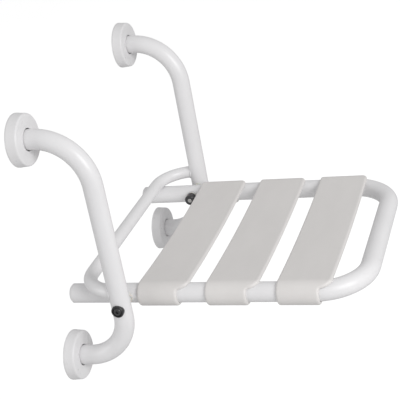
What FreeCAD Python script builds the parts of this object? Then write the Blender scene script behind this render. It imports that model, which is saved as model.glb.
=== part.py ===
import FreeCAD, Part
import math
import os
import Sketcher
from FreeCAD import Placement, Rotation, Vector

# A fold-up shower seat that is bolted to a wall. The origin is on the wall,
# midway between the two side frames, at the height of the fold axis.
# +X is to the right of someone facing the wall, +Y is into the wall, +Z is up.

sizes = {
    # side frames
    "tube_dia": 33.0,
    "tube_wall": 2.0,
    "frame_half": 232.0,
    "standoff": 108.0,
    "upper_height": 299.0,
    "upper_run": 24.0,
    "lower_run": 31.0,
    "pivot_rise": 18.0,
    # wall plates and their snap-on covers
    "plate_dia": 79.0,
    "plate_thick": 4.0,
    "plate_hole": 6.5,
    "plate_pitch": 57.0,
    "plate_holes": 3,
    "cover_wall": 3.0,
    "cover_depth": 19.0,
    "cover_gap": 1.0,
    "cover_edge": 1.6,
    "cover_step": 0.4,
    "cover_step_depth": 5.0,
    # seat tube
    "seat_front": 497.5,
    "seat_bend": 80.0,
    "rear_clear": 3.5,
    "cap_length": 6.0,
    "cap_chamfer": 3.0,
    "plug_length": 14.0,
    "plug_play": 0.05,
    # bar that the back ends of the seat tube come up against
    "stop_dia": 23.0,
    "stop_wall": 2.0,
    "stop_play": 0.3,
    "stop_reach": 68.0,
    "stop_lead": 6.0,
    # pivots
    "bolt_dia": 8.0,
    "bolt_play": 0.05,
    "head_dia": 14.0,
    "head_height": 3.0,
    "head_round": 1.0,
    "head_play": 0.8,
    "socket_width": 5.0,
    "socket_depth": 2.2,
    "ring_dia": 21.0,
    "ring_round": 1.2,
    "head_ring_rise": 0.6,
    "left_ring_dia": 16.0,
    "left_ring_rise": 1.0,
    "right_ring_dia": 22.0,
    "right_ring_rise": 2.4,
    "spacer_dia": 21.0,
    "spacer_rise": 4.0,
    "washer_dia": 21.0,
    "washer_thick": 1.2,
    "side_play": 0.3,
    "bush_dia": 14.0,
    "left_nut_dia": 14.5,
    "left_nut_height": 3.0,
    "left_nut_round": 0.8,
    "right_nut_dia": 20.0,
    "right_nut_height": 14.0,
    "right_nut_round": 1.6,
    "bolt_show": 0.6,
    # slats
    "slat_first": 127.5,
    "slat_gap": 29.3,
    "slat_end_gap": 47.4,
    "slat_thick": 5.0,
    "slat_sag": 6.0,
    "slat_play": 0.05,
    "relief_play": 0.1,
    "clip_inset": 19.5,
    "clip_overlap": 10.0,
    "corner_round": 19.0,
    "corner_reach": 15.5,
    "corner_blend": 4.0,
    "slat_edge": 2.0,
}
slat_names = ("rear_slat", "middle_slat", "front_slat")

document = FreeCAD.newDocument("fold_up_shower_seat")
sheet = document.addObject("Spreadsheet::Sheet", "dims")
for row, (alias, number) in enumerate(sizes.items(), start=1):
    sheet.set(f"A{row}", alias)
    sheet.set(f"B{row}", str(number))
    sheet.setAlias(f"B{row}", alias)
document.recompute()


class Size:
    """A length with the sheet formula that gives it."""

    def __init__(self, number, formula):
        self.number = number
        self.formula = formula

    def combine(self, other, sign, number):
        text = other.formula if isinstance(other, Size) else str(other)
        return Size(number, f"({self.formula} {sign} {text})")

    def __add__(self, other):
        return self.combine(other, "+", self.number + plain(other))

    def __sub__(self, other):
        return self.combine(other, "-", self.number - plain(other))

    def __mul__(self, other):
        return self.combine(other, "*", self.number * plain(other))

    def __truediv__(self, other):
        return self.combine(other, "/", self.number / plain(other))

    def __neg__(self):
        return Size(-self.number, f"(-{self.formula})")


def plain(value):
    return value.number if isinstance(value, Size) else value


def size(alias):
    return Size(sizes[alias], f"dims.{alias}")


tube_r = size("tube_dia") / 2
bore_r = tube_r - size("tube_wall")
stop_r = size("stop_dia") / 2
bolt_r = size("bolt_dia") / 2
stop_height = tube_r + size("stop_play") + stop_r
lower_bend = size("standoff") - size("lower_run")
lower_height = lower_bend + size("pivot_rise")
# the gap between a side tube and the seat tube holds two spacers, a washer and the side play
pivot_gap = size("spacer_rise") * 2 + size("washer_thick") + size("side_play")
seat_half = size("frame_half") - size("tube_dia") - pivot_gap
slat_r = tube_r + size("slat_play")
slat_outer_r = slat_r + size("slat_thick")
slat_span = size("seat_front") - size("slat_end_gap") - size("slat_first")
slat_width = (slat_span - size("slat_gap") * (len(slat_names) - 1)) / len(slat_names)
clip_width = slat_width - size("clip_inset")
zero = Size(0.0, "0")


# ---- sketch helpers ----

def new_body(name):
    body = document.addObject("PartDesign::Body", name)
    body.Label = name
    return body


def sketch_on(body, name, role, offset=None):
    """A sketch on one of the body's own origin planes, or at a distance along its normal."""
    sketch = body.newObject("Sketcher::SketchObject", name)
    plane = next(f for f in body.Origin.OriginFeatures if f.Role == role)
    sketch.AttachmentSupport = [(plane, "")]
    sketch.MapMode = "FlatFace"
    if offset is not None:
        sketch.AttachmentOffset = Placement(Vector(0, 0, offset.number), Rotation())
        sketch.setExpression(".AttachmentOffset.Base.z", offset.formula)
    return sketch


def bind(sketch, kind, *where, value):
    """A dimension whose value follows the sheet."""
    index = sketch.addConstraint(Sketcher.Constraint(kind, *where, value.number))
    sketch.setExpression(f"Constraints[{index}]", value.formula)


def pin(sketch, geo, point, x=None, y=None):
    """Fixes a point's distance from the sketch axes, on whichever side it lies."""
    for kind, value, axis in (("DistanceX", x, -2), ("DistanceY", y, -1)):
        if value is None:
            continue
        if value.number == 0:
            sketch.addConstraint(Sketcher.Constraint("PointOnObject", geo, point, axis))
        elif value.number > 0:
            bind(sketch, kind, -1, 1, geo, point, value=value)
        else:
            bind(sketch, kind, geo, point, -1, 1, value=-value)


def circle(sketch, radius, x=zero, y=zero):
    centre = Vector(x.number, y.number, 0)
    geo = sketch.addGeometry(Part.Circle(centre, Vector(0, 0, 1), radius.number))
    bind(sketch, "Radius", geo, value=radius)
    if x.number == 0 and y.number == 0:
        sketch.addConstraint(Sketcher.Constraint("Coincident", geo, 3, -1, 1))
    else:
        pin(sketch, geo, 3, x, y)
    return geo


def outline(sketch, points):
    """A closed loop of straight edges through points given as (x, y)."""
    corners = [Vector(x.number, y.number, 0) for x, y in points]
    count = len(points)
    edges = [
        sketch.addGeometry(Part.LineSegment(corners[i], corners[(i + 1) % count]))
        for i in range(count)
    ]
    for i, (x, y) in enumerate(points):
        before = edges[i - 1]
        sketch.addConstraint(Sketcher.Constraint("Coincident", before, 2, edges[i], 1))
        pin(sketch, edges[i], 1, x, y)


def bent_path(sketch, points, radii):
    """Straight runs along the sketch axes, joined at the inner points by tangent arcs."""
    corners = [Vector(x.number, y.number, 0) for x, y in points]
    runs = len(points) - 1
    ways = [(corners[i + 1] - corners[i]).normalize() for i in range(runs)]
    trims = [0.0] + [radius.number for radius in radii] + [0.0]
    lines = []
    for i in range(runs):
        start = corners[i] + ways[i] * trims[i]
        end = corners[i + 1] - ways[i] * trims[i + 1]
        lines.append(sketch.addGeometry(Part.LineSegment(start, end)))
        level = "Horizontal" if abs(ways[i].x) > 0.5 else "Vertical"
        sketch.addConstraint(Sketcher.Constraint(level, lines[i]))
    for i, radius in enumerate(radii):
        corner = corners[i + 1]
        start = corner - ways[i] * radius.number
        end = corner + ways[i + 1] * radius.number
        centre = start + ways[i + 1] * radius.number
        middle = centre + (corner - centre).normalize() * radius.number
        arc = sketch.addGeometry(Part.Arc(start, middle, end))
        first, last = ends_of(sketch, arc, start)
        sketch.addConstraint(Sketcher.Constraint("Tangent", lines[i], 2, arc, first))
        sketch.addConstraint(Sketcher.Constraint("Tangent", lines[i + 1], 1, arc, last))
        bind(sketch, "Radius", arc, value=radius)
    pin(sketch, lines[0], 1, *points[0])
    for i in range(1, runs):
        x, y = points[i]
        if abs(ways[i].x) > 0.5:
            pin(sketch, lines[i], 1, y=y)
        else:
            pin(sketch, lines[i], 1, x=x)
    x, y = points[-1]
    if abs(ways[-1].x) > 0.5:
        pin(sketch, lines[-1], 2, x=x)
    else:
        pin(sketch, lines[-1], 2, y=y)


# ---- feature helpers ----

def sweep(body, name, profile, path):
    pipe = body.newObject("PartDesign::AdditivePipe", name)
    pipe.Profile = profile
    pipe.Spine = (path, [f"Edge{i + 1}" for i in range(path.GeometryCount)])
    pipe.Transition = "Transformed"
    return pipe


def pad(body, name, profile, length, midplane=False):
    feature = body.newObject("PartDesign::Pad", name)
    feature.Profile = profile
    feature.Length = length.number
    feature.setExpression("Length", length.formula)
    feature.Midplane = midplane
    return feature


def cut_through(body, name, profile):
    """A cut both ways through everything, checked by the volume that it takes away."""
    before = body.Shape.Volume
    feature = body.newObject("PartDesign::Pocket", name)
    feature.Profile = profile
    feature.Type = "ThroughAll"
    feature.Midplane = True
    document.recompute()
    if body.Shape.Volume > before - 0.01:
        raise RuntimeError(f"{name} cuts nothing")
    return feature


def turn(body, name, profile, axis):
    feature = body.newObject("PartDesign::Revolution", name)
    feature.Profile = profile
    feature.ReferenceAxis = (profile, [axis])
    feature.Angle = 360.0
    return feature


def place(body, x=zero, y=zero, z=zero, yaw=0.0):
    body.Placement = Placement(Vector(x.number, y.number, z.number), Rotation(Vector(0, 0, 1), yaw))
    for axis, value in zip("xyz", (x, y, z)):
        body.setExpression(f".Placement.Base.{axis}", value.formula)


# ---- side frames ----

def side_tube(name, x):
    """One tube: out of the wall, down past the pivot and back into the wall."""
    body = new_body(name)
    path = sketch_on(body, name + "_path", "YZ_Plane")
    wall_end = -size("plate_thick")
    bent_path(path, [
        (wall_end, size("upper_height")),
        (-size("standoff"), size("upper_height")),
        (-size("standoff"), -lower_height),
        (wall_end, -lower_height),
    ], [size("standoff") - size("upper_run"), lower_bend])
    ring = sketch_on(body, name + "_section", "XZ_Plane", size("plate_thick"))
    circle(ring, tube_r, y=size("upper_height"))
    circle(ring, bore_r, y=size("upper_height"))
    sweep(body, name + "_tube", ring, path)
    document.recompute()
    hole = sketch_on(body, name + "_bolt_hole", "YZ_Plane")
    circle(hole, bolt_r + size("bolt_play"), x=-size("standoff"))
    cut_through(body, name + "_bolt_cut", hole)
    place(body, x=x)


def wall_plate(name, x, z):
    """A round plate welded to the tube end, with its screw holes on one circle."""
    body = new_body(name)
    disc = sketch_on(body, name + "_disc", "XZ_Plane")
    circle(disc, size("plate_dia") / 2)
    pad(body, name + "_pad", disc, size("plate_thick"))
    document.recompute()
    hole = sketch_on(body, name + "_hole", "XZ_Plane")
    circle(hole, size("plate_hole") / 2, y=size("plate_pitch") / 2)
    first = cut_through(body, name + "_first_hole", hole)
    ring = body.newObject("PartDesign::PolarPattern", name + "_holes")
    ring.Originals = [first]
    ring.Axis = (disc, ["N_Axis"])
    ring.Angle = 360.0
    ring.Occurrences = int(sizes["plate_holes"])
    ring.setExpression("Occurrences", "dims.plate_holes")
    body.Tip = ring
    place(body, x=x, z=z)


def plate_cover(name, x, z):
    """A turned cup that snaps over the plate and leaves a gap around the tube."""
    body = new_body(name)
    half = sketch_on(body, name + "_half", "XY_Plane")
    inner = size("plate_dia") / 2
    outer = inner + size("cover_wall")
    front = outer - size("cover_step")
    depth = size("cover_depth")
    step = size("cover_step_depth")
    hole = tube_r + size("cover_gap")
    outline(half, [
        (inner, zero),
        (outer, zero),
        (outer, -step),
        (front, -(step + size("cover_step"))),
        (front, -(depth - size("cover_edge"))),
        (front - size("cover_edge"), -depth),
        (hole, -depth),
        (hole, -(depth - size("cover_wall"))),
        (inner, -(depth - size("cover_wall"))),
    ])
    turn(body, name + "_cup", half, "V_Axis")
    place(body, x=x, z=z)


# ---- stop bar ----

def stop_bar():
    """A bent bar behind the side frames, its ends fitted round their upright runs."""
    body = new_body("stop_bar")
    path = sketch_on(body, "stop_path", "XY_Plane", stop_height)
    back = size("stop_reach") - size("standoff")
    bend = size("stop_reach") - size("stop_lead")
    bent_path(path, [
        (-size("frame_half"), -size("standoff")),
        (-size("frame_half"), back),
        (size("frame_half"), back),
        (size("frame_half"), -size("standoff")),
    ], [bend, bend])
    ring = sketch_on(body, "stop_section", "XZ_Plane", size("standoff"))
    circle(ring, stop_r, x=-size("frame_half"), y=stop_height)
    circle(ring, stop_r - size("stop_wall"), x=-size("frame_half"), y=stop_height)
    sweep(body, "stop_tube", ring, path)
    document.recompute()
    saddle = sketch_on(body, "stop_saddles", "XY_Plane")
    circle(saddle, tube_r, x=-size("frame_half"), y=-size("standoff"))
    circle(saddle, tube_r, x=size("frame_half"), y=-size("standoff"))
    cut_through(body, "stop_saddle_cut", saddle)


# ---- pivots: built with +X pointing away from the seat, then turned for the left side ----

frame_face = tube_r + size("head_ring_rise")


def nut_face(side):
    """Where the nut starts, just clear of the ring on the inner side of the seat tube."""
    return -(tube_r * 3 + pivot_gap + size(side + "_ring_rise") + size("side_play"))


def pivot_bolt(side, x, yaw):
    """A socket head outside the side tube, and a shank right through to the nut."""
    name = side + "_bolt"
    body = new_body(name)
    half = sketch_on(body, name + "_half", "XY_Plane")
    under = frame_face
    top = under + size("head_height")
    tail = nut_face(side) - size(side + "_nut_height") - size("bolt_show")
    head_r = size("head_dia") / 2
    outline(half, [
        (tail, zero),
        (tail, bolt_r - size("bolt_show")),
        (tail + size("bolt_show"), bolt_r),
        (under, bolt_r),
        (under, head_r),
        (top - size("head_round"), head_r),
        (top, head_r - size("head_round")),
        (top, zero),
    ])
    turn(body, name + "_turned", half, "H_Axis")
    document.recompute()
    before = body.Shape.Volume
    hexagon = sketch_on(body, name + "_hexagon", "YZ_Plane", top - size("socket_depth"))
    add_hexagon(hexagon, size("socket_width"))
    socket = body.newObject("PartDesign::Pocket", name + "_socket")
    socket.Profile = hexagon
    socket.Type = "ThroughAll"
    socket.Reversed = True
    document.recompute()
    across = sizes["socket_width"]
    expected = across ** 2 * math.sqrt(3) / 2 * sizes["socket_depth"]
    if abs(before - body.Shape.Volume - expected) > 0.01 * expected:
        raise RuntimeError(f"{name}: the socket is not its full depth")
    place(body, x=x, y=-size("standoff"), yaw=yaw)


def add_hexagon(sketch, width):
    """A regular hexagon about the sketch origin, measured across its flats."""
    arm = width.number / 3 ** 0.5
    corners = [Rotation(Vector(0, 0, 1), 60 * i).multVec(Vector(arm, 0, 0)) for i in range(6)]
    edges = [
        sketch.addGeometry(Part.LineSegment(corners[i], corners[(i + 1) % 6])) for i in range(6)
    ]
    guide = sketch.addGeometry(Part.Circle(Vector(), Vector(0, 0, 1), arm), True)
    sketch.addConstraint(Sketcher.Constraint("Coincident", guide, 3, -1, 1))
    for i, edge in enumerate(edges):
        sketch.addConstraint(Sketcher.Constraint("Coincident", edges[i - 1], 2, edge, 1))
        sketch.addConstraint(Sketcher.Constraint("PointOnObject", edge, 1, guide))
        if i:
            sketch.addConstraint(Sketcher.Constraint("Equal", edges[0], edge))
    sketch.addConstraint(Sketcher.Constraint("PointOnObject", edges[0], 1, -1))
    bind(sketch, "Radius", guide, value=Size(arm, f"({width.formula} / sqrt(3))"))


def saddle_ring(name, points, along, x, yaw):
    """A turned ring, hollowed from behind to sit on a tube that runs along Y or Z."""
    body = new_body(name)
    half = sketch_on(body, name + "_half", "XY_Plane")
    outline(half, points)
    turn(body, name + "_turned", half, "H_Axis")
    document.recompute()
    plane = "XY_Plane" if along == "z" else "XZ_Plane"
    saddle = sketch_on(body, name + "_saddle", plane)
    circle(saddle, tube_r)
    cut_through(body, name + "_saddle_cut", saddle)
    place(body, x=x, y=-size("standoff"), yaw=yaw)


def plain_ring(radius, face):
    """The outline of a ring that stands out from the middle of a tube to a flat face."""
    bore = bolt_r + size("bolt_play")
    return [(zero, bore), (face, bore), (face, radius), (zero, radius)]


def head_ring(radius):
    """The outline of a ring with a recess that the bolt head sinks into."""
    bore = bolt_r + size("bolt_play")
    recess = size("head_dia") / 2 + size("head_play")
    rim = frame_face + size("head_height")
    return [
        (zero, bore),
        (frame_face, bore),
        (frame_face, recess),
        (rim, recess),
        (rim, radius - size("ring_round")),
        (rim - size("ring_round"), radius),
        (zero, radius),
    ]


def turned_piece(name, points, x, yaw):
    body = new_body(name)
    half = sketch_on(body, name + "_half", "XY_Plane")
    outline(half, points)
    turn(body, name + "_turned", half, "H_Axis")
    place(body, x=x, y=-size("standoff"), yaw=yaw)


def thrust_washer(name, x, yaw):
    """A flat washer against the spacer on the side tube."""
    bore = bolt_r + size("bolt_play")
    radius = size("washer_dia") / 2
    near = -(tube_r + size("spacer_rise"))
    far = near - size("washer_thick")
    turned_piece(name, [(near, bore), (near, radius), (far, radius), (far, bore)], x, yaw)


def pivot_nut(side, x, yaw):
    """A round nut on the inner end of the bolt: a flat one on the left, a tall one on the right."""
    radius = size(side + "_nut_dia") / 2
    start = nut_face(side)
    end = start - size(side + "_nut_height")
    turned_piece(side + "_nut", [
        (start, bolt_r),
        (start, radius),
        (end + size(side + "_nut_round"), radius),
        (end, radius - size(side + "_nut_round")),
        (end, bolt_r),
    ], x, yaw)


def pivot_bush(name, x, yaw):
    """A sleeve across the seat tube, a running fit on the bolt."""
    body = new_body(name)
    ring = sketch_on(body, name + "_ring", "YZ_Plane")
    circle(ring, size("bush_dia") / 2)
    circle(ring, bolt_r + size("bolt_play"))
    # its edges end at the surface of the tube
    length = Size(
        math.sqrt(sizes["tube_dia"] ** 2 - sizes["bush_dia"] ** 2),
        "sqrt(dims.tube_dia ^ 2 - dims.bush_dia ^ 2)",
    )
    pad(body, name + "_pad", ring, length, midplane=True)
    place(body, x=x, y=-size("standoff"), yaw=yaw)


# ---- seat ----

def seat_frame():
    """A U-shaped tube that carries the slats; its open ends reach back past the pivots."""
    body = new_body("seat_frame")
    tube_end = -(size("rear_clear") + size("cap_length"))
    path = sketch_on(body, "seat_path", "XY_Plane")
    bent_path(path, [
        (-seat_half, tube_end),
        (-seat_half, -size("seat_front")),
        (seat_half, -size("seat_front")),
        (seat_half, tube_end),
    ], [size("seat_bend"), size("seat_bend")])
    ring = sketch_on(body, "seat_section", "XZ_Plane", -tube_end)
    circle(ring, tube_r, x=-seat_half)
    circle(ring, bore_r, x=-seat_half)
    sweep(body, "seat_tube", ring, path)
    document.recompute()
    hole = sketch_on(body, "seat_bush_hole", "YZ_Plane")
    circle(hole, size("bush_dia") / 2, x=-size("standoff"))
    cut_through(body, "seat_bush_cut", hole)


def end_cap(name, x):
    """A turned plug with a chamfered face, pushed into the back end of the seat tube."""
    body = new_body(name)
    half = sketch_on(body, name + "_half", "XY_Plane")
    back = -size("rear_clear")
    shoulder = back - size("cap_length")
    plug_r = bore_r - size("plug_play")
    outline(half, [
        (zero, back),
        (tube_r - size("cap_chamfer"), back),
        (tube_r, back - size("cap_chamfer")),
        (tube_r, shoulder),
        (plug_r, shoulder),
        (plug_r, shoulder - size("plug_length")),
        (zero, shoulder - size("plug_length")),
    ])
    turn(body, name + "_turned", half, "V_Axis")
    place(body, x=x)


def slat(name, back):
    """A moulded slat: a sagging web whose ends wrap right round both seat tubes."""
    body = new_body(name)
    clips = sketch_on(body, name + "_clip_section", "XZ_Plane")
    slat_section(clips, wrap=True)
    pad(body, name + "_clips", clips, clip_width)
    document.recompute()
    web = sketch_on(body, name + "_web_section", "XZ_Plane")
    slat_section(web, wrap=False)
    pad(body, name + "_web", web, slat_width)
    document.recompute()
    corners = sketch_on(body, name + "_corners", "XY_Plane")
    corner_outline(corners, 1)
    corner_outline(corners, -1)
    cut_through(body, name + "_corner_cut", corners)
    round_edges(body, name)
    if back.number + slat_width.number > size("seat_front").number - size("seat_bend").number:
        follow_bends(body, name, back)
    place(body, y=-back)


def slat_section(sketch, wrap):
    """The end view of a slat, with its whole clips or with only the part above the tubes."""
    half = seat_half
    sag = size("slat_sag")
    # the two faces of the web are arcs about one centre, tangent to the circles round the tubes
    spread = Size(
        (half.number ** 2 + sag.number ** 2) / (2 * sag.number),
        f"(({half.formula} ^ 2 + {sag.formula} ^ 2) / (2 * {sag.formula}))",
    )
    centre_height = spread.number - sag.number
    lean = math.atan2(centre_height, -half.number)
    free = -math.pi / 2 - math.asin(sizes["clip_overlap"] / slat_outer_r.number) if wrap else 0.0
    up = Vector(0, 0, 1)
    webs, right, left = [], [], []
    for radius in (slat_outer_r, slat_r):
        face = Part.Circle(Vector(0, centre_height, 0), up, spread.number - radius.number)
        swing = math.atan2(half.number, centre_height)
        web = Part.ArcOfCircle(face, -math.pi / 2 - swing, -math.pi / 2 + swing)
        webs.append(sketch.addGeometry(web))
        wall = Part.Circle(Vector(half.number, 0, 0), up, radius.number)
        right.append(sketch.addGeometry(Part.ArcOfCircle(wall, free, lean)))
        wall = Part.Circle(Vector(-half.number, 0, 0), up, radius.number)
        left.append(sketch.addGeometry(Part.ArcOfCircle(wall, math.pi - lean, math.pi - free)))
        bind(sketch, "Radius", webs[-1], value=spread - radius)
        for arc, x, web_end, arc_end in ((right[-1], half, 2, 2), (left[-1], -half, 1, 1)):
            bind(sketch, "Radius", arc, value=radius)
            pin(sketch, arc, 3, x, zero)
            sketch.addConstraint(Sketcher.Constraint("Tangent", webs[-1], web_end, arc, arc_end))
    for (outer, inner), end, sign in ((right, 1, 1), (left, 2, -1)):
        start = sketch.getPoint(outer, end)
        stop = sketch.getPoint(inner, end)
        lip = sketch.addGeometry(Part.LineSegment(start, stop))
        sketch.addConstraint(Sketcher.Constraint("Coincident", lip, 1, outer, end))
        sketch.addConstraint(Sketcher.Constraint("Coincident", lip, 2, inner, end))
        sketch.addConstraint(Sketcher.Constraint("PointOnObject", outer, 3, lip))
        if wrap:
            pin(sketch, outer, end, x=(half - size("clip_overlap")) * sign)
        else:
            pin(sketch, outer, end, y=zero)


def corner_outline(sketch, sign):
    """The piece cut from a front corner, from above: a round corner that runs out to the clip."""
    across = seat_half + size("corner_reach")
    radius = size("corner_round")
    blend = size("corner_blend")
    centre_x = (across - radius) * sign
    centre_y = -(slat_width - radius)
    clip_y = -clip_width
    beyond_x = (seat_half + slat_outer_r + blend) * sign
    beyond_y = -(slat_width + blend)
    # where the small inside round meets the corner round and the front of the clip
    drop = centre_y.number - (clip_y.number - blend.number)
    reach = math.sqrt((radius.number + blend.number) ** 2 - drop ** 2)
    inside_x = centre_x.number + sign * reach
    inside_y = clip_y.number - blend.number
    share = radius.number / (radius.number + blend.number)
    meet_x = centre_x.number + share * sign * reach
    meet_y = centre_y.number - share * drop
    front = Vector(centre_x.number, -slat_width.number, 0)
    meet = Vector(meet_x, meet_y, 0)
    clip = Vector(inside_x, clip_y.number, 0)
    side = Vector(beyond_x.number, clip_y.number, 0)
    outside = Vector(beyond_x.number, beyond_y.number, 0)
    below = Vector(centre_x.number, beyond_y.number, 0)
    round_centre = Vector(centre_x.number, centre_y.number, 0)
    inside_centre = Vector(inside_x, inside_y, 0)
    big = sketch.addGeometry(arc_between(round_centre, front, meet))
    small = sketch.addGeometry(arc_between(inside_centre, meet, clip))
    big_front, big_meet = ends_of(sketch, big, front)
    small_meet, small_clip = ends_of(sketch, small, meet)
    lines = [
        sketch.addGeometry(Part.LineSegment(start, stop))
        for start, stop in ((clip, side), (side, outside), (outside, below), (below, front))
    ]
    bind(sketch, "Radius", big, value=radius)
    bind(sketch, "Radius", small, value=blend)
    pin(sketch, big, 3, centre_x, centre_y)
    sketch.addConstraint(Sketcher.Constraint("Tangent", big, big_meet, small, small_meet))
    sketch.addConstraint(Sketcher.Constraint("Tangent", small, small_clip, lines[0], 1))
    sketch.addConstraint(Sketcher.Constraint("Horizontal", lines[0]))
    pin(sketch, lines[0], 2, beyond_x, clip_y)
    for before, after in zip(lines, lines[1:]):
        sketch.addConstraint(Sketcher.Constraint("Coincident", before, 2, after, 1))
    sketch.addConstraint(Sketcher.Constraint("Vertical", lines[1]))
    pin(sketch, lines[2], 1, y=beyond_y)
    sketch.addConstraint(Sketcher.Constraint("Horizontal", lines[2]))
    sketch.addConstraint(Sketcher.Constraint("Vertical", lines[3]))
    sketch.addConstraint(Sketcher.Constraint("Coincident", lines[3], 2, big, big_front))
    sketch.addConstraint(Sketcher.Constraint("Vertical", big, 3, big, big_front))


def arc_between(centre, start, stop):
    """The short arc about a centre from one point to another, drawn the way the sketcher wants."""
    first = math.atan2(start.y - centre.y, start.x - centre.x)
    last = math.atan2(stop.y - centre.y, stop.x - centre.x)
    turn_angle = (last - first) % (2 * math.pi)
    if turn_angle > math.pi:
        first, last = last, first
    ring = Part.Circle(centre, Vector(0, 0, 1), centre.distanceToPoint(start))
    return Part.ArcOfCircle(ring, first, last)


def ends_of(sketch, arc, point):
    """The end of an arc that lies at a point, and then its other end."""
    return (1, 2) if sketch.getPoint(arc, 1).distanceToPoint(point) < 1e-6 else (2, 1)


def round_edges(body, name):
    """Rounds every curved edge of the slat's outer skin, front and back."""
    half = seat_half.number
    sag = sizes["slat_sag"]
    spread = (half ** 2 + sag ** 2) / (2 * sag)
    web_r = spread - slat_outer_r.number

    def on_skin(point):
        across = abs(point.x)
        round_tube = abs(math.hypot(across - half, point.z) - slat_outer_r.number)
        on_web = abs(math.hypot(across, spread - sag - point.z) - web_r)
        return min(round_tube, on_web) < 0.001

    tip = body.Tip
    chosen = []
    for i, edge in enumerate(tip.Shape.Edges, start=1):
        curved = not isinstance(edge.Curve, (Part.Line, Part.LineSegment))
        if curved and all(on_skin(point) for point in edge.discretize(5)):
            chosen.append(f"Edge{i}")
    fillet = body.newObject("PartDesign::Fillet", name + "_edges")
    fillet.Base = (tip, chosen)
    fillet.Radius = size("slat_edge").number
    fillet.setExpression("Radius", size("slat_edge").formula)


def follow_bends(body, name, back):
    """Hollows the slat where it lies over the start of the seat tube's front bends."""
    start = size("seat_front") - size("seat_bend") - back
    for side, sign in (("left", -1), ("right", 1)):
        before = body.Shape.Volume
        ring = sketch_on(body, f"{name}_{side}_bend", "XZ_Plane", start)
        circle(ring, slat_r + size("relief_play"), x=seat_half * sign)
        centre = (seat_half - size("seat_bend")) * sign
        low = Vector(centre.number, 0, 0)
        axis = sketch_line(ring, low, low + Vector(0, slat_r.number, 0))
        pin(ring, axis, 1, centre, zero)
        bind(ring, "DistanceY", axis, 1, axis, 2, value=slat_r)
        ring.addConstraint(Sketcher.Constraint("Vertical", axis))
        groove = body.newObject("PartDesign::Groove", f"{name}_{side}_relief")
        groove.Profile = ring
        groove.ReferenceAxis = (ring, ["Axis0"])
        groove.Angle = 90.0
        groove.Reversed = sign > 0
        document.recompute()
        if body.Shape.Volume > before - 0.01:
            raise RuntimeError(f"{name}: the {side} bend relief cuts nothing")


def sketch_line(sketch, start, stop):
    """A construction line, which a turned feature can use as its axis."""
    return sketch.addGeometry(Part.LineSegment(start, stop), True)


# ---- the whole seat ----

for sign, side, yaw in ((-1, "left", 180.0), (1, "right", 0.0)):
    frame_x = size("frame_half") * sign
    seat_x = seat_half * sign
    side_tube(side + "_side_tube", frame_x)
    for level, z in (("upper", size("upper_height")), ("lower", -lower_height)):
        wall_plate(f"{level}_{side}_plate", frame_x, z)
        plate_cover(f"{level}_{side}_cover", frame_x, z)
    pivot_bolt(side, frame_x, yaw)
    spacer_r = size("spacer_dia") / 2
    saddle_ring(side + "_head_ring", head_ring(size("ring_dia") / 2), "z", frame_x, yaw)
    frame_spacer = plain_ring(spacer_r, -(tube_r + size("spacer_rise")))
    saddle_ring(side + "_frame_spacer", frame_spacer, "z", frame_x, yaw)
    thrust_washer(side + "_washer", frame_x, yaw)
    pivot_nut(side, frame_x, yaw)
    end_cap(side + "_end_cap", seat_x)
    pivot_bush(side + "_bush", seat_x, yaw)
    seat_spacer = plain_ring(spacer_r, tube_r + size("spacer_rise"))
    saddle_ring(side + "_seat_spacer", seat_spacer, "y", seat_x, yaw)
    nut_ring = plain_ring(size(side + "_ring_dia") / 2, -(tube_r + size(side + "_ring_rise")))
    saddle_ring(side + "_nut_ring", nut_ring, "y", seat_x, yaw)
stop_bar()
seat_frame()
for i, name in enumerate(slat_names):
    slat(name, size("slat_first") + (slat_width + size("slat_gap")) * i)
document.recompute()


# ---- check every object, then write one file for each piece ----

for item in document.Objects:
    if "Invalid" in item.State or "Error" in item.State:
        raise RuntimeError(f"{item.Label} failed: {item.State}")
bodies = document.findObjects("PartDesign::Body")
for body in bodies:
    if body.Shape.isNull() or not body.Shape.isValid() or len(body.Shape.Solids) != 1:
        raise RuntimeError(f"{body.Label} is not one valid solid")
os.makedirs("parts", exist_ok=True)
for body in bodies:
    body.Shape.exportStep(f"parts/{body.Label}.step")
    print(f"{body.Label}: {body.Shape.Volume / 1000:.1f} cm3")
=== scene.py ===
import bpy
import bmesh
import math
from mathutils import Matrix, Vector


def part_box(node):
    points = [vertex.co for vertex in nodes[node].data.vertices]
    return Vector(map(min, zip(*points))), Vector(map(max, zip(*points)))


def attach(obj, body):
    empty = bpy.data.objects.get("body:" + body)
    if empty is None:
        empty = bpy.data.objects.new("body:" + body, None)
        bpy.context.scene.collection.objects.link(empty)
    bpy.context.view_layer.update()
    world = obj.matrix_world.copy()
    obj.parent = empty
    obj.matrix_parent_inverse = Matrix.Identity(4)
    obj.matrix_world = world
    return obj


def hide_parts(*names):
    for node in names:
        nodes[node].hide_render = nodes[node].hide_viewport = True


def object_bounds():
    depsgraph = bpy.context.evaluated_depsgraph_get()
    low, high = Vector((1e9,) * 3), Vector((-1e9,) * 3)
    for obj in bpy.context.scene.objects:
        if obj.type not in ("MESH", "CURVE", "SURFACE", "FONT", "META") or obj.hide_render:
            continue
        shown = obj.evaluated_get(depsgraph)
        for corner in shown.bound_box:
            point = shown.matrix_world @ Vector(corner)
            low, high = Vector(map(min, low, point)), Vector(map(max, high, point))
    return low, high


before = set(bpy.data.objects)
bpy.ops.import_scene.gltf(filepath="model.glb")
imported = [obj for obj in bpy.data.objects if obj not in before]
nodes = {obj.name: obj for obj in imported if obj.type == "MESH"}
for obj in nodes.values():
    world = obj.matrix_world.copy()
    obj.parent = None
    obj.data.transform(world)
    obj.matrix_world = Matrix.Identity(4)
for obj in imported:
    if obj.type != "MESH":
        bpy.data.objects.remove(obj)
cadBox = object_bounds()
mm = 0.001
scene = bpy.context.scene
scene.view_settings.view_transform = "Standard"
print("frame loaded:", len(nodes), "nodes")


# camera

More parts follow.
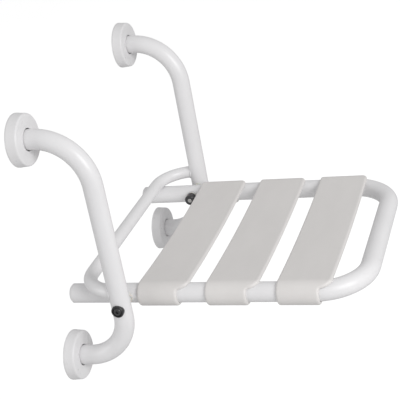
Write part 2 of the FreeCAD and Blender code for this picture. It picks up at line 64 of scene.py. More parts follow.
cameraSetup = {
    "place": (-1.59980, -0.79771, 0.83559),
    "azimuth": -69.1634,
    "elevation": 23.9515,
    "roll": -10.8941,
    "lens": 95.942,
    "sensor": 36.0,
    "sightEnd": 60.0,
}


def addCamera(setup):
    turn = math.radians(setup["azimuth"])
    rise = math.radians(setup["elevation"])
    back = Vector((
        math.sin(turn) * math.cos(rise),
        -math.cos(turn) * math.cos(rise),
        math.sin(rise),
    ))
    data = bpy.data.cameras.new("studioCamera")
    data.lens = setup["lens"]
    data.sensor_width = setup["sensor"]
    data.clip_end = setup["sightEnd"]
    camera = bpy.data.objects.new("studioCamera", data)
    scene.collection.objects.link(camera)
    look = (-back).to_track_quat("-Z", "Y").to_matrix().to_4x4()
    roll = Matrix.Rotation(math.radians(setup["roll"]), 4, "Z")
    camera.matrix_world = Matrix.Translation(setup["place"]) @ look @ roll
    scene.camera = camera


addCamera(cameraSetup)
print("camera set")


# materials

def newMaterial(name):
    material = bpy.data.materials.new(name)
    material.use_nodes = True
    tree = material.node_tree
    shader = tree.nodes["Principled BSDF"]
    return material, tree, shader


def objectPlace(tree, centre=(0, 0, 0), stretch=(1, 1, 1)):
    coords = tree.nodes.new("ShaderNodeTexCoord")
    mapping = tree.nodes.new("ShaderNodeMapping")
    mapping.vector_type = "TEXTURE"
    mapping.inputs["Location"].default_value = centre
    mapping.inputs["Scale"].default_value = stretch
    tree.links.new(coords.outputs["Object"], mapping.inputs["Vector"])
    return mapping.outputs["Vector"]


def noise(tree, place, scale, detail=2.0, roughness=0.5):
    node = tree.nodes.new("ShaderNodeTexNoise")
    node.inputs["Scale"].default_value = scale
    node.inputs["Detail"].default_value = detail
    node.inputs["Roughness"].default_value = roughness
    tree.links.new(place, node.inputs["Vector"])
    return node.outputs["Fac"]


def blendColours(tree, factor, first, second, low=0.3, high=0.7):
    ramp = tree.nodes.new("ShaderNodeValToRGB")
    ramp.color_ramp.elements[0].position = low
    ramp.color_ramp.elements[0].color = (*first, 1)
    ramp.color_ramp.elements[1].position = high
    ramp.color_ramp.elements[1].color = (*second, 1)
    tree.links.new(factor, ramp.inputs["Fac"])
    return ramp.outputs["Color"]


def stretchRange(tree, value, low, high, fromLow=0.3, fromHigh=0.7):
    node = tree.nodes.new("ShaderNodeMapRange")
    node.inputs["From Min"].default_value = fromLow
    node.inputs["From Max"].default_value = fromHigh
    node.inputs["To Min"].default_value = low
    node.inputs["To Max"].default_value = high
    tree.links.new(value, node.inputs["Value"])
    return node.outputs["Result"]


def bump(tree, height, depth, strength=1.0, under=None):
    # depth is in metres
    node = tree.nodes.new("ShaderNodeBump")
    node.inputs["Strength"].default_value = strength
    node.inputs["Distance"].default_value = depth
    tree.links.new(height, node.inputs["Height"])
    if under is not None:
        tree.links.new(under, node.inputs["Normal"])
    return node.outputs["Normal"]


# each look gives its two colours, and the size of its clouds, smears and grain per metre

coatingLook = {
    "light": (0.826, 0.819, 0.828),
    "dark": (0.801, 0.794, 0.803),
    "cloud": 14.0,
    "smear": 42.0,
    "gloss": (0.31, 0.43),
    "peel": 520.0,
    "peelDepth": 0.010 * mm,
    "coat": 0.15,
    "coatGloss": 0.20,
    "ior": 1.5,
}


def makeCoating(look):
    material, tree, shader = newMaterial("whiteCoating")
    place = objectPlace(tree)
    cloudy = noise(tree, place, look["cloud"], 4.0)
    colour = blendColours(tree, cloudy, look["dark"], look["light"])
    tree.links.new(colour, shader.inputs["Base Color"])
    smeared = noise(tree, place, look["smear"], 3.0)
    tree.links.new(stretchRange(tree, smeared, *look["gloss"]), shader.inputs["Roughness"])
    peel = noise(tree, place, look["peel"], 2.0)
    tree.links.new(bump(tree, peel, look["peelDepth"]), shader.inputs["Normal"])
    shader.inputs["Coat Weight"].default_value = look["coat"]
    shader.inputs["Coat Roughness"].default_value = look["coatGloss"]
    shader.inputs["IOR"].default_value = look["ior"]
    return material


slatLook = {
    "light": (0.757, 0.735, 0.721),
    "dark": (0.728, 0.707, 0.693),
    "flow": 24.0,
    "flowStretch": (3.0, 1.0, 1.0),  # the plastic flowed along the slat
    "smear": 60.0,
    "gloss": (0.36, 0.50),
    "grain": 1500.0,
    "grainDepth": 0.03 * mm,
    "grainStrength": 0.6,
    "sink": 35.0,
    "sinkDepth": 0.25 * mm,
    "sinkStrength": 0.5,
    "ior": 1.49,
}


def makeSlatPlastic(look):
    material, tree, shader = newMaterial("slatPlastic")
    place = objectPlace(tree)
    flow = noise(tree, objectPlace(tree, stretch=look["flowStretch"]), look["flow"], 4.0)
    colour = blendColours(tree, flow, look["dark"], look["light"])
    tree.links.new(colour, shader.inputs["Base Color"])
    smeared = noise(tree, place, look["smear"], 3.0)
    tree.links.new(stretchRange(tree, smeared, *look["gloss"]), shader.inputs["Roughness"])
    grain = noise(tree, place, look["grain"], 2.0)
    sink = noise(tree, place, look["sink"], 1.0)
    fine = bump(tree, grain, look["grainDepth"], look["grainStrength"])
    soft = bump(tree, sink, look["sinkDepth"], look["sinkStrength"], fine)
    tree.links.new(soft, shader.inputs["Normal"])
    shader.inputs["IOR"].default_value = look["ior"]
    return material


coverLook = {
    "light": (0.800, 0.793, 0.802),
    "dark": (0.772, 0.764, 0.772),
    "cloud": 22.0,
    "cloudDetail": 3.0,
    "smear": 70.0,
    "gloss": (0.26, 0.38),
    "grain": 900.0,
    "grainDepth": 0.03 * mm,
    "grainStrength": 0.7,
    "set": {"IOR": 1.5},
}

nylonLook = {
    "light": (0.74, 0.73, 0.69),
    "dark": (0.66, 0.65, 0.61),
    "cloud": 260.0,
    "cloudDetail": 3.0,
    "smear": 400.0,
    "gloss": (0.42, 0.58),
    "grain": 2200.0,
    "grainDepth": 0.02 * mm,
    "grainStrength": 1.0,
    "set": {"Subsurface Weight": 0.12, "Subsurface Scale": 2.0 * mm},
}

blackLook = {
    "light": (0.030, 0.031, 0.032),
    "dark": (0.014, 0.014, 0.015),
    "cloud": 300.0,
    "cloudDetail": 4.0,
    "smear": 500.0,
    "gloss": (0.26, 0.42),
    "grain": 2600.0,
    "grainDepth": 0.02 * mm,
    "grainStrength": 1.0,
    "set": {},
}


def makeMoulded(name, look):
    # a moulded plastic: faint clouds in its colour, uneven gloss and a fine grain
    material, tree, shader = newMaterial(name)
    place = objectPlace(tree)
    cloudy = noise(tree, place, look["cloud"], look["cloudDetail"])
    colour = blendColours(tree, cloudy, look["dark"], look["light"])
    tree.links.new(colour, shader.inputs["Base Color"])
    smeared = noise(tree, place, look["smear"])
    tree.links.new(stretchRange(tree, smeared, *look["gloss"]), shader.inputs["Roughness"])
    grain = noise(tree, place, look["grain"], 2.0)
    fine = bump(tree, grain, look["grainDepth"], look["grainStrength"])
    tree.links.new(fine, shader.inputs["Normal"])
    for socket, value in look["set"].items():
        shader.inputs[socket].default_value = value
    return material


steelLook = {
    "blacked": (0.105, 0.105, 0.108),
    "bright": (0.60, 0.59, 0.575),
    "bareHalf": 248.5 * mm,  # the bolt is blacked further out than this
    "rings": 700.0,
    "waver": 0.6,
    "ringDepth": 0.02 * mm,
    "gloss": (0.24, 0.40),
}


def makeTurnedSteel(name, look, pivot, blackFrom):
    material, tree, shader = newMaterial(name)
    place = objectPlace(tree, centre=pivot)
    rings = tree.nodes.new("ShaderNodeTexWave")
    rings.wave_type = "RINGS"
    rings.rings_direction = "X"
    rings.inputs["Scale"].default_value = look["rings"]
    rings.inputs["Distortion"].default_value = look["waver"]
    rings.inputs["Detail"].default_value = 2.0
    tree.links.new(place, rings.inputs["Vector"])
    split = tree.nodes.new("ShaderNodeSeparateXYZ")
    tree.links.new(place, split.inputs["Vector"])
    far = tree.nodes.new("ShaderNodeMath")
    far.operation = "ABSOLUTE"
    tree.links.new(split.outputs["X"], far.inputs[0])
    black = tree.nodes.new("ShaderNodeMath")
    black.operation = "GREATER_THAN"
    black.inputs[1].default_value = blackFrom
    tree.links.new(far.outputs["Value"], black.inputs[0])
    colour = blendColours(tree, black.outputs["Value"], look["bright"], look["blacked"], 0.4, 0.6)
    tree.links.new(colour, shader.inputs["Base Color"])
    gloss = stretchRange(tree, rings.outputs["Fac"], *look["gloss"], 0.0, 1.0)
    tree.links.new(gloss, shader.inputs["Roughness"])
    turned = bump(tree, rings.outputs["Fac"], look["ringDepth"])
    tree.links.new(turned, shader.inputs["Normal"])
    shader.inputs["Metallic"].default_value = 1.0
    return material


plateLook = {
    "light": (0.64, 0.65, 0.66),
    "dark": (0.46, 0.48, 0.50),
    "spangle": 220.0,
    "smear": 90.0,
    "gloss": (0.30, 0.48),
    "grain": 700.0,
    "grainDepth": 0.03 * mm,
}


def makeZincPlate(look):
    material, tree, shader = newMaterial("zincPlate")
    place = objectPlace(tree)
    cells = tree.nodes.new("ShaderNodeTexVoronoi")
    cells.inputs["Scale"].default_value = look["spangle"]
    tree.links.new(place, cells.inputs["Vector"])
    colour = blendColours(tree, cells.outputs["Color"], look["dark"], look["light"], 0.1, 0.9)
    tree.links.new(colour, shader.inputs["Base Color"])
    smeared = noise(tree, place, look["smear"], 3.0)
    tree.links.new(stretchRange(tree, smeared, *look["gloss"]), shader.inputs["Roughness"])
    grain = noise(tree, place, look["grain"])
    tree.links.new(bump(tree, grain, look["grainDepth"]), shader.inputs["Normal"])
    shader.inputs["Metallic"].default_value = 1.0
    return material


pivotLow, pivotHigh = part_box("left_bolt")
pivotAxis = (0.0, (pivotLow.y + pivotHigh.y) / 2, (pivotLow.z + pivotHigh.z) / 2)
coating = makeCoating(coatingLook)
slatPlastic = makeSlatPlastic(slatLook)
coverPlastic = makeMoulded("whiteCover", coverLook)
nylon = makeMoulded("whiteNylon", nylonLook)
blackPlastic = makeMoulded("blackPlastic", blackLook)
boltSteel = makeTurnedSteel("boltSteel", steelLook, pivotAxis, steelLook["bareHalf"])
nutSteel = makeTurnedSteel("nutSteel", steelLook, pivotAxis, 0.0)
washerSteel = makeTurnedSteel("washerSteel", steelLook, pivotAxis, cadBox[1].x)
zincPlate = makeZincPlate(plateLook)

finishes = {
    "side_tube": coating,
    "seat_frame": coating,
    "stop_bar": coating,
    "slat": slatPlastic,
    "cover": coverPlastic,
    "plate": zincPlate,
    "end_cap": coverPlastic,
    "bush": nylon,
    "spacer": nylon,
    "washer": washerSteel,
    "head_ring": blackPlastic,
    "nut_ring": nylon,
    "nut": nutSteel,
    "bolt": boltSteel,
}


def dressNode(name, node):
    # the longest matching ending wins, so nut_ring is not taken for nut
    fitting = [ending for ending in finishes if name.endswith(ending)]
    chosen = finishes[max(fitting, key=len)]
    if not node.material_slots:
        node.data.materials.append(chosen)
    for materialSlot in node.material_slots:
        materialSlot.material = chosen


for name, node in nodes.items():
    dressNode(name, node)
print("materials made:", len(set(finishes.values())))


# shared by the pieces made here


def smoothMesh(name, build):
    bmesh.ops.recalc_face_normals(build, faces=build.faces)
    mesh = bpy.data.meshes.new(name)
    build.to_mesh(mesh)
    build.free()
    mesh.polygons.foreach_set("use_smooth", [True] * len(mesh.polygons))
    return mesh


class NodeSums:
    # short words for the sums in a geometry tree

    def __init__(self, tree):
        self.tree = tree

    def do(self, operation, *values):
        node = self.tree.nodes.new("ShaderNodeMath")
        node.operation = operation
        for socket, value in zip(node.inputs, values):
            if isinstance(value, (int, float)):
                socket.default_value = value
            else:
                self.tree.links.new(value, socket)
        return node.outputs["Value"]

    def choose(self, test, off, on):
        node = self.tree.nodes.new("ShaderNodeMix")
        self.tree.links.new(test, node.inputs["Factor"])
        self.tree.links.new(off, node.inputs["A"])
        self.tree.links.new(on, node.inputs["B"])
        return node.outputs["Result"]


def newTree(name, inputs):
    tree = bpy.data.node_groups.new(name, "GeometryNodeTree")
    tree.interface.new_socket("Geometry", in_out="INPUT", socket_type="NodeSocketGeometry")
    for label, kind in inputs:
        tree.interface.new_socket(label, in_out="INPUT", socket_type=kind)
    tree.interface.new_socket("Geometry", in_out="OUTPUT", socket_type="NodeSocketGeometry")
    given = tree.nodes.new("NodeGroupInput")
    result = tree.nodes.new("NodeGroupOutput")
    return tree, given, result


def rowOf(tree, count, start, step):
    row = tree.nodes.new("GeometryNodeMeshLine")
    for socket, value in (("Count", count), ("Start Location", start), ("Offset", step)):
        if isinstance(value, int):
            row.inputs[socket].default_value = value
        else:
            tree.links.new(value, row.inputs[socket])
    return row.outputs["Mesh"]


def copiesAt(tree, points, shape):
    copies = tree.nodes.new("GeometryNodeInstanceOnPoints")
    tree.links.new(points, copies.inputs["Points"])
    tree.links.new(shape, copies.inputs["Instance"])
    return copies.outputs["Instances"]


def endTree(tree, geometry, given, result):
    solid = tree.nodes.new("GeometryNodeRealizeInstances")
    tree.links.new(geometry, solid.inputs["Geometry"])
    finish = tree.nodes.new("GeometryNodeSetMaterial")
    tree.links.new(solid.outputs["Geometry"], finish.inputs["Geometry"])
    tree.links.new(given.outputs["Finish"], finish.inputs["Material"])
    tree.links.new(finish.outputs["Geometry"], result.inputs["Geometry"])


def runTree(name, mesh, tree, values):
    # one plain mesh from a tree, with its inputs set by identifier before it is evaluated
    starter = bpy.data.objects.new(name + "Starter", mesh)
    scene.collection.objects.link(starter)
    modifier = starter.modifiers.new("shape", "NODES")
    modifier.node_group = tree
    for socket in tree.interface.items_tree:
        if socket.in_out == "INPUT" and socket.name in values:
            modifier[socket.identifier] = values[socket.name]
    bpy.context.view_layer.update()
    evaluated = starter.evaluated_get(bpy.context.evaluated_depsgraph_get())
    plain = bpy.data.meshes.new_from_object(evaluated)
    plain.name = name
    bpy.data.objects.remove(starter)
    piece = bpy.data.objects.new(name, plain)
    scene.collection.objects.link(piece)
    return piece


# slats: a flat moulded strip is laid round both seat tubes, once for each slat

slatSetup = {
    "count": 3,
    "thick": 5.0 * mm,
    "outerRound": 4.2 * mm,
    "innerRound": 0.6 * mm,
    "sag": 6.0 * mm,
    "lipReach": 10.0 * mm,  # how far the clip passes under the tube
    "clipWidth": 68.5 * mm,
    "tipRound": 7.0 * mm,
    "cornerRound": 19.0 * mm,
    "cornerReach": 15.5 * mm,  # how far the wide part passes the tube's middle
    "cornerBlend": 4.0 * mm,
    "guard": 1.2 * mm,  # a narrow strip beside the edge keeps the broad faces flat in shading
    "webStep": 11.0 * mm,
    "clipStep": 1.6 * mm,
    "cornerSteps": 14,
    "blendSteps": 6,
    "tipSteps": 8,
    "outerSteps": 8,
    "innerSteps": 3,
    "columns": 6,
}


def slatShape(setup):
    # works out the bent line of the slat from the boxes of the seat tube and the slats
    tubeLow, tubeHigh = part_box("seat_frame")
    rearLow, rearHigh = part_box("rear_slat")
    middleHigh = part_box("middle_slat")[1]
    tubeRadius = (tubeHigh.z - tubeLow.z) / 2
    half = tubeHigh.x - tubeRadius
    outer = rearHigh.x - half
    mid = outer - setup["thick"] / 2
    spread = (half ** 2 + setup["sag"] ** 2) / (2 * setup["sag"])
    rise = spread - setup["sag"]
    lean = math.atan2(rise, -half)
    webRadius = spread - mid
    free = -math.pi / 2 - math.asin(setup["lipReach"] / outer)
    return {
        "half": half,
        "outer": outer,
        "mid": mid,
        "rise": rise,
        "lean": lean,
        "webRadius": webRadius,
        "webHalf": webRadius * math.atan2(half, rise),
        "wrap": mid * (lean - free),
        "width": rearHigh.y - rearLow.y,
        "first": rearHigh.y,
        "pitch": rearHigh.y - middleHigh.y,
    }


def alongSlat(shape, across):
    # distance along the flat strip of a place this far outside the tube's middle
    edge = shape["outer"] * math.cos(shape["lean"])
    if across <= edge:
        return shape["webHalf"] + across - edge
    return shape["webHalf"] + shape["mid"] * (shape["lean"] - math.acos(across / shape["outer"]))


def slatStations(setup, shape):
    # (distance along, front edge, rear edge) from the middle of the slat to one tip
    width, clip, tip = shape["width"], setup["clipWidth"], setup["tipRound"]
    big, small = setup["cornerRound"], setup["cornerBlend"]
    centreX = setup["cornerReach"] - big
    centreY = big - width
    meet = math.asin((centreY + clip + small) / (big + small))
    start = alongSlat(shape, centreX)
    steps = math.ceil(start / setup["webStep"])
    stations = [(start * i / steps, -width, 0.0) for i in range(steps)]
    for i in range(setup["cornerSteps"] + 1):
        turn = math.pi / 2 + (meet - math.pi / 2) * i / setup["cornerSteps"]
        along = alongSlat(shape, centreX + big * math.cos(turn))
        stations.append((along, centreY - big * math.sin(turn), 0.0))
    blendX = centreX + (big + small) * math.cos(meet)
    for i in range(1, setup["blendSteps"] + 1):
        turn = meet + (math.pi / 2 - meet) * i / setup["blendSteps"]
        along = alongSlat(shape, blendX - small * math.cos(turn))
        stations.append((along, small * math.sin(turn) - clip - small, 0.0))
    last = stations[-1][0]
    bare = shape["webHalf"] + shape["wrap"] - tip
    steps = math.ceil((bare - last) / setup["clipStep"])
    stations += [(last + (bare - last) * i / steps, -clip, 0.0) for i in range(1, steps)]
    for i in range(setup["tipSteps"] + 1):
        turn = math.pi / 2 * i / setup["tipSteps"]
        pull = tip * (1 - math.cos(turn))
        stations.append((bare + tip * math.sin(turn), pull - clip, -pull))
    return stations


def insetWays(outline):
    # at each point of a closed outline, the way to its inner side
    ways = []
    for i, point in enumerate(outline):
        before, after = outline[i - 1], outline[(i + 1) % len(outline)]
        way = ((point - before).normalized() + (after - point).normalized()).normalized()
        ways.append(Vector((-way.y, way.x)))
    return ways


def flatSlat(setup, shape):
    side = slatStations(setup, shape)
    stations = [(-along, front, rear) for along, front, rear in reversed(side[1:])] + side
    outline = [Vector((along, front)) for along, front, rear in stations]
    outline += [Vector((along, rear)) for along, front, rear in reversed(stations)]
    inward = insetWays(outline)
    total = len(outline)
    halfThick = setup["thick"] / 2
    build = bmesh.new()

    def loop(inset, height):
        return [
            build.verts.new((point.x + way.x * inset, point.y + way.y * inset, height))
            for point, way in zip(outline, inward)
        ]

    rings = []
    outer, inner = setup["outerRound"], setup["innerRound"]
    for end, edge, steps in ((1, outer, setup["outerSteps"]), (-1, inner, setup["innerSteps"])):
        for i in range(steps + 1):
            share = (steps - i) / steps if end == 1 else i / steps
            turn = math.pi / 2 * share
            inset = edge * (1 - math.cos(turn))
            rings.append(loop(inset, end * (halfThick - edge + edge * math.sin(turn))))
    for upper, lower in zip(rings, rings[1:]):
        for i in range(total):
            j = (i + 1) % total
            build.faces.new((upper[i], lower[i], lower[j], upper[j]))

    def cap(ring, height, guard):
        rows = []
        for i in range(len(stations)):
            j = total - 1 - i
            front = outline[i] + inward[i] * guard
            rear = outline[j] + inward[j] * guard
            between = [
                build.verts.new((*front.lerp(rear, k / (setup["columns"] - 1)), height))
                for k in range(setup["columns"])
            ]
            rows.append([ring[i], *between, ring[j]])
        for row, following in zip(rows, rows[1:]):
            for k in range(len(row) - 1):
                build.faces.new((row[k], following[k], following[k + 1], row[k + 1]))
        build.faces.new(rows[0])
        build.faces.new(rows[-1])

    cap(rings[0], halfThick, outer + setup["guard"])
    cap(rings[-1], -halfThick, inner + setup["guard"])
    return smoothMesh("flatSlat", build)


def slatTree():
    tree, given, result = newTree("slatsRoundTubes", [
        ("Tube Half Span", "NodeSocketFloat"),
        ("Wrap Radius", "NodeSocketFloat"),
        ("Web Radius", "NodeSocketFloat"),
        ("Web Rise", "NodeSocketFloat"),
        ("Web Half Length", "NodeSocketFloat"),
        ("Lean", "NodeSocketFloat"),
        ("Count", "NodeSocketInt"),
        ("First", "NodeSocketVector"),
        ("Step", "NodeSocketVector"),
        ("Finish", "NodeSocketMaterial"),
    ])
    sums = NodeSums(tree)
    do = sums.do
    place = tree.nodes.new("GeometryNodeInputPosition")
    split = tree.nodes.new("ShaderNodeSeparateXYZ")
    tree.links.new(place.outputs["Position"], split.inputs["Vector"])
    along, depth, height = split.outputs
    reach = do("ABSOLUTE", along)
    webHalf = given.outputs["Web Half Length"]
    webTurn = do("DIVIDE", do("MINIMUM", reach, webHalf), given.outputs["Web Radius"])
    webArm = do("SUBTRACT", given.outputs["Web Radius"], height)
    webAcross = do("MULTIPLY", webArm, do("SINE", webTurn))
    webDrop = do("MULTIPLY", webArm, do("COSINE", webTurn))
    webUp = do("SUBTRACT", given.outputs["Web Rise"], webDrop)
    wrap = given.outputs["Wrap Radius"]
    past = do("MAXIMUM", do("SUBTRACT", reach, webHalf), 0.0)
    tubeTurn = do("SUBTRACT", given.outputs["Lean"], do("DIVIDE", past, wrap))
    tubeArm = do("ADD", wrap, height)
    tubeReach = do("MULTIPLY", tubeArm, do("COSINE", tubeTurn))
    tubeAcross = do("ADD", given.outputs["Tube Half Span"], tubeReach)
    tubeUp = do("MULTIPLY", tubeArm, do("SINE", tubeTurn))
    onTube = do("GREATER_THAN", reach, webHalf)
    across = do("MULTIPLY", do("SIGN", along), sums.choose(onTube, webAcross, tubeAcross))
    bent = tree.nodes.new("ShaderNodeCombineXYZ")
    tree.links.new(across, bent.inputs["X"])
    tree.links.new(depth, bent.inputs["Y"])
    tree.links.new(sums.choose(onTube, webUp, tubeUp), bent.inputs["Z"])
    lay = tree.nodes.new("GeometryNodeSetPosition")
    tree.links.new(given.outputs["Geometry"], lay.inputs["Geometry"])
    tree.links.new(bent.outputs["Vector"], lay.inputs["Position"])
    row = rowOf(tree, given.outputs["Count"], given.outputs["First"], given.outputs["Step"])
    endTree(tree, copiesAt(tree, row, lay.outputs["Geometry"]), given, result)
    return tree


slatLine = slatShape(slatSetup)
slats = runTree("slats", flatSlat(slatSetup, slatLine), slatTree(), {
    "Tube Half Span": slatLine["half"],
    "Wrap Radius": slatLine["mid"],
    "Web Radius": slatLine["webRadius"],
    "Web Rise": slatLine["rise"],
    "Web Half Length": slatLine["webHalf"],
    "Lean": slatLine["lean"],
    "Count": slatSetup["count"],
    "First": (0.0, slatLine["first"], 0.0),
    "Step": (0.0, -slatLine["pitch"], 0.0),
    "Finish": slatPlastic,
})
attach(slats, "seat")
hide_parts("rear_slat", "middle_slat", "front_slat")
print("slats:", len(slats.data.polygons), "faces")


# weld beads, where the stop bar meets the side tubes

weldSetup = {
    "bead": 1.5 * mm,
    "ripple": 0.13,
    "ripples": 34.0,
    "uneven": 0.04,
    "lift": 0.5 * mm,
    "pathPoints": 96,
    "steps": 272,
    "sides": 10,
    "seed": 4,
}


def weldTree():
    tree, given, result = newTree("weldBead", [
        ("Bead Radius", "NodeSocketFloat"),
        ("Ripple", "NodeSocketFloat"),
        ("Ripples", "NodeSocketFloat"),
        ("Uneven Low", "NodeSocketFloat"),
        ("Uneven High", "NodeSocketFloat"),
        ("Sides", "NodeSocketInt"),
        ("Steps", "NodeSocketInt"),
        ("Seed", "NodeSocketInt"),
        ("Finish", "NodeSocketMaterial"),
    ])
    do = NodeSums(tree).do
    path = tree.nodes.new("GeometryNodeMeshToCurve")
    tree.links.new(given.outputs["Geometry"], path.inputs["Mesh"])
    even = tree.nodes.new("GeometryNodeResampleCurve")
    tree.links.new(path.outputs["Curve"], even.inputs["Curve"])
    tree.links.new(given.outputs["Steps"], even.inputs["Count"])
    where = tree.nodes.new("GeometryNodeSplineParameter")
    uneven = tree.nodes.new("FunctionNodeRandomValue")
    # a random value's second set of ends and its second output are the ones for plain numbers
    tree.links.new(given.outputs["Uneven Low"], uneven.inputs[2])
    tree.links.new(given.outputs["Uneven High"], uneven.inputs[3])
    tree.links.new(given.outputs["Seed"], uneven.inputs["Seed"])
    turns = do("MULTIPLY", where.outputs["Factor"], given.outputs["Ripples"])
    wave = do("MULTIPLY", do("SINE", do("MULTIPLY", turns, math.tau)), given.outputs["Ripple"])
    size = do("ADD", do("ADD", 1.0, wave), uneven.outputs[1])
    swell = tree.nodes.new("GeometryNodeSetCurveRadius")
    tree.links.new(even.outputs["Curve"], swell.inputs["Curve"])
    tree.links.new(size, swell.inputs["Radius"])
    section = tree.nodes.new("GeometryNodeCurvePrimitiveCircle")
    tree.links.new(given.outputs["Sides"], section.inputs["Resolution"])
    tree.links.new(given.outputs["Bead Radius"], section.inputs["Radius"])
    bead = tree.nodes.new("GeometryNodeCurveToMesh")
    tree.links.new(swell.outputs["Curve"], bead.inputs["Curve"])
    tree.links.new(section.outputs["Curve"], bead.inputs["Profile Curve"])
    tree.links.new(size, bead.inputs["Scale"])
    endTree(tree, bead.outputs["Mesh"], given, result)
    return tree


def weldPaths(setup):
    # the line where the end of the stop bar, along Y, meets an upright side tube
    barLow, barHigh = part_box("stop_bar")
    tubeLow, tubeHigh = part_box("left_side_tube")
    barRadius = (barHigh.z - barLow.z) / 2 + setup["lift"]
    barHeight = (barHigh.z + barLow.z) / 2
    tubeRadius = (tubeHigh.x - tubeLow.x) / 2
    tubeMiddle = (tubeHigh.x + tubeLow.x) / 2
    tubeDepth = tubeLow.y + tubeRadius
    steps = setup["pathPoints"]
    points, edges = [], []
    for side in (1, -1):
        begin = len(points)
        for i in range(steps):
            turn = math.tau * i / steps
            across = barRadius * math.cos(turn)
            back = math.sqrt((tubeRadius + setup["lift"]) ** 2 - across ** 2)
            points.append((
                side * tubeMiddle + across,
                tubeDepth + back,
                barHeight + barRadius * math.sin(turn),
            ))
            edges.append((begin + i, begin + (i + 1) % steps))
    mesh = bpy.data.meshes.new("weldPaths")
    mesh.from_pydata(points, edges, [])
    return mesh


welds = runTree("stopBarWelds", weldPaths(weldSetup), weldTree(), {
    "Bead Radius": weldSetup["bead"],
    "Ripple": weldSetup["ripple"],
    "Ripples": weldSetup["ripples"],
    "Uneven Low": -weldSetup["uneven"],
    "Uneven High": weldSetup["uneven"],
    "Sides": weldSetup["sides"],
    "Steps": weldSetup["steps"],
    "Seed": weldSetup["seed"],
    "Finish": coating,
})
welds.data.polygons.foreach_set("use_smooth", [True] * len(welds.data.polygons))
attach(welds, "wall_frame")
print("weld beads:", len(welds.data.polygons), "faces")


# covers: one turned cup, set over each of the four wall plates

coverSetup = {
    "edgeRound": 3.2 * mm,
    "wall": 2.6 * mm,
    "step": 0.35 * mm,
    "stepDepth": 4.0 * mm,
    "draft": 0.7 * mm,
    "boreGap": 1.35 * mm,
    "lipRound": 1.0 * mm,
    "rim": 0.5 * mm,
    "insideRound": 1.5 * mm,
    "boxGap": 0.01 * mm,  # keeps the cover within its box
    "edgeSteps": 10,
    "lipSteps": 4,
    "turns": 120,
}


def arcPoints(centre, radius, start, stop, steps):
    points = []
    for i in range(steps + 1):
        turn = math.radians(start + (stop - start) * i / steps)
        points.append((centre[0] + radius * math.cos(turn), centre[1] + radius * math.sin(turn)))
    return points


def coverSection(setup, outer, bore, depth):
    # (radius, distance from the wall), all the way round the cup's wall
    soft, wall, lip = setup["edgeRound"], setup["wall"], setup["lipRound"]
    rim, hollow, lipSteps = setup["rim"], setup["insideRound"], setup["lipSteps"]
    body = outer - setup["step"]
    floor = depth - wall
    points = [(outer - wall, 0.0), (outer - rim, 0.0), (outer, rim)]
    points += [(outer, setup["stepDepth"] - rim), (body, setup["stepDepth"] + rim)]
    edge = (body - setup["draft"] - soft, depth - soft)
    points += arcPoints(edge, soft, 0, 90, setup["edgeSteps"])
    points += arcPoints((bore + lip, depth - lip), lip, 90, 180, lipSteps)
    points += [(bore, floor), (outer - wall - soft, floor)]
    points += arcPoints((outer - wall - hollow, floor - hollow), hollow, 90, 0, lipSteps)
    return points


def turnedMesh(name, section, turns):
    # turns a closed outline of (radius, distance) about the Y axis, away from the wall
    build = bmesh.new()
    angles = [math.tau * i / turns for i in range(turns)]
    rings = [
        [
            build.verts.new((radius * math.cos(angle), -away, radius * math.sin(angle)))
            for angle in angles
        ]
        for radius, away in section
    ]
    for k, ring in enumerate(rings):
        following = rings[(k + 1) % len(rings)]
        for i in range(turns):
            j = (i + 1) % turns
            build.faces.new((ring[i], following[i], following[j], ring[j]))
    return smoothMesh(name, build)


def coverTree():
    tree, given, result = newTree("coversOnPlates", [
        ("Upper Start", "NodeSocketVector"),
        ("Lower Start", "NodeSocketVector"),
        ("Across", "NodeSocketVector"),
        ("Finish", "NodeSocketMaterial"),
    ])
    joined = tree.nodes.new("GeometryNodeJoinGeometry")
    for label in ("Upper Start", "Lower Start"):
        pair = rowOf(tree, 2, given.outputs[label], given.outputs["Across"])
        tree.links.new(pair, joined.inputs["Geometry"])
    copies = copiesAt(tree, joined.outputs["Geometry"], given.outputs["Geometry"])
    endTree(tree, copies, given, result)
    return tree


def middleOf(node):
    low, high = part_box(node)
    return (low + high) / 2


def makeCovers(setup):
    low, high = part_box("upper_left_cover")
    tubeLow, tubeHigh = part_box("left_side_tube")
    outer = (high.x - low.x) / 2 - setup["boxGap"]
    bore = (tubeHigh.x - tubeLow.x) / 2 + setup["boreGap"]
    section = coverSection(setup, outer, bore, high.y - low.y)
    cup = turnedMesh("coverCup", section, setup["turns"])
    upper, lower = middleOf("upper_left_cover"), middleOf("lower_left_cover")
    return runTree("plateCovers", cup, coverTree(), {
        "Upper Start": (upper.x, high.y, upper.z),
        "Lower Start": (lower.x, high.y, lower.z),
        "Across": (middleOf("upper_right_cover").x - upper.x, 0.0, 0.0),
        "Finish": coverPlastic,
    })


covers = makeCovers(coverSetup)
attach(covers, "wall_frame")
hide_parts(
    "upper_left_cover", "upper_right_cover", "lower_left_cover", "lower_right_cover"
)
print("covers:", len(covers.data.polygons), "faces")


# stage

stageSetup = {
    "drop": 0.46,
    "size": 30.0,
    "floor": (0.66, 0.66, 0.66),
    "faint": 0.985,  # how dark the floor's clouds are against it
    "cloud": 3.0,
    "rough": 0.9,
    "shine": 0.1,
    "glow": 0.62,  # lifts the floor to white for the camera, and throws no light on the seat
    "air": 0.55,
    "airSeen": 1.0,
}


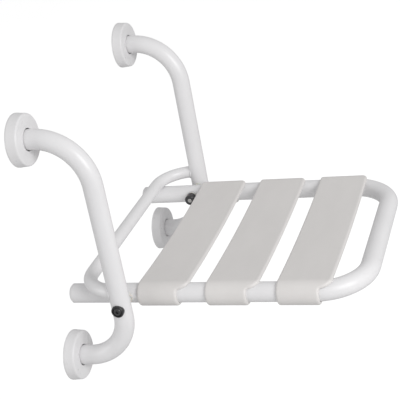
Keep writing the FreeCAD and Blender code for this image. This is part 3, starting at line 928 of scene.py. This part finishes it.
def addFloor(setup):
    mesh = bpy.data.meshes.new("floor")
    half = setup["size"] / 2
    z = -setup["drop"]
    mesh.from_pydata(
        [(-half, -half, z), (half, -half, z), (half, half, z), (-half, half, z)],
        [],
        [(0, 1, 2, 3)],
    )
    floor = bpy.data.objects.new("floor", mesh)
    scene.collection.objects.link(floor)
    material, tree, shader = newMaterial("paleFloor")
    place = objectPlace(tree)
    pale = setup["floor"]
    faint = tuple(value * setup["faint"] for value in pale)
    cloudy = noise(tree, place, setup["cloud"], 3.0)
    tree.links.new(blendColours(tree, cloudy, faint, pale), shader.inputs["Base Color"])
    shader.inputs["Roughness"].default_value = setup["rough"]
    shader.inputs["Specular IOR Level"].default_value = setup["shine"]
    shader.inputs["Emission Color"].default_value = (1, 1, 1, 1)
    seen = tree.nodes.new("ShaderNodeLightPath").outputs["Is Camera Ray"]
    glow = stretchRange(tree, seen, 0.0, setup["glow"], 0.0, 1.0)
    tree.links.new(glow, shader.inputs["Emission Strength"])
    mesh.materials.append(material)


def addAir(setup):
    world = bpy.data.worlds.new("studioAir")
    world.use_nodes = True
    tree = world.node_tree
    sky = tree.nodes["Background"]
    seen = tree.nodes.new("ShaderNodeLightPath").outputs["Is Camera Ray"]
    strength = stretchRange(tree, seen, setup["air"], setup["airSeen"], 0.0, 1.0)
    tree.links.new(strength, sky.inputs["Strength"])
    sky.inputs["Color"].default_value = (1, 1, 1, 1)
    scene.world = world


lampSetup = {
    "key": {"place": (-1.55, -2.55, 1.35), "size": 1.5, "power": 48.0},
    "fill": {"place": (-1.8, 2.2, 0.4), "size": 1.2, "power": 13.0},
}
lampAim = (0, -0.25, 0.05)


def addLamp(name, setup, aim):
    data = bpy.data.lights.new(name, "AREA")
    data.size = setup["size"]
    data.energy = setup["power"]
    lamp = bpy.data.objects.new(name, data)
    scene.collection.objects.link(lamp)
    look = (Vector(aim) - Vector(setup["place"])).to_track_quat("-Z", "Y")
    lamp.matrix_world = Matrix.Translation(setup["place"]) @ look.to_matrix().to_4x4()


addFloor(stageSetup)
addAir(stageSetup)
for name, setup in lampSetup.items():
    addLamp(name, setup, lampAim)
print("stage and lamps set")
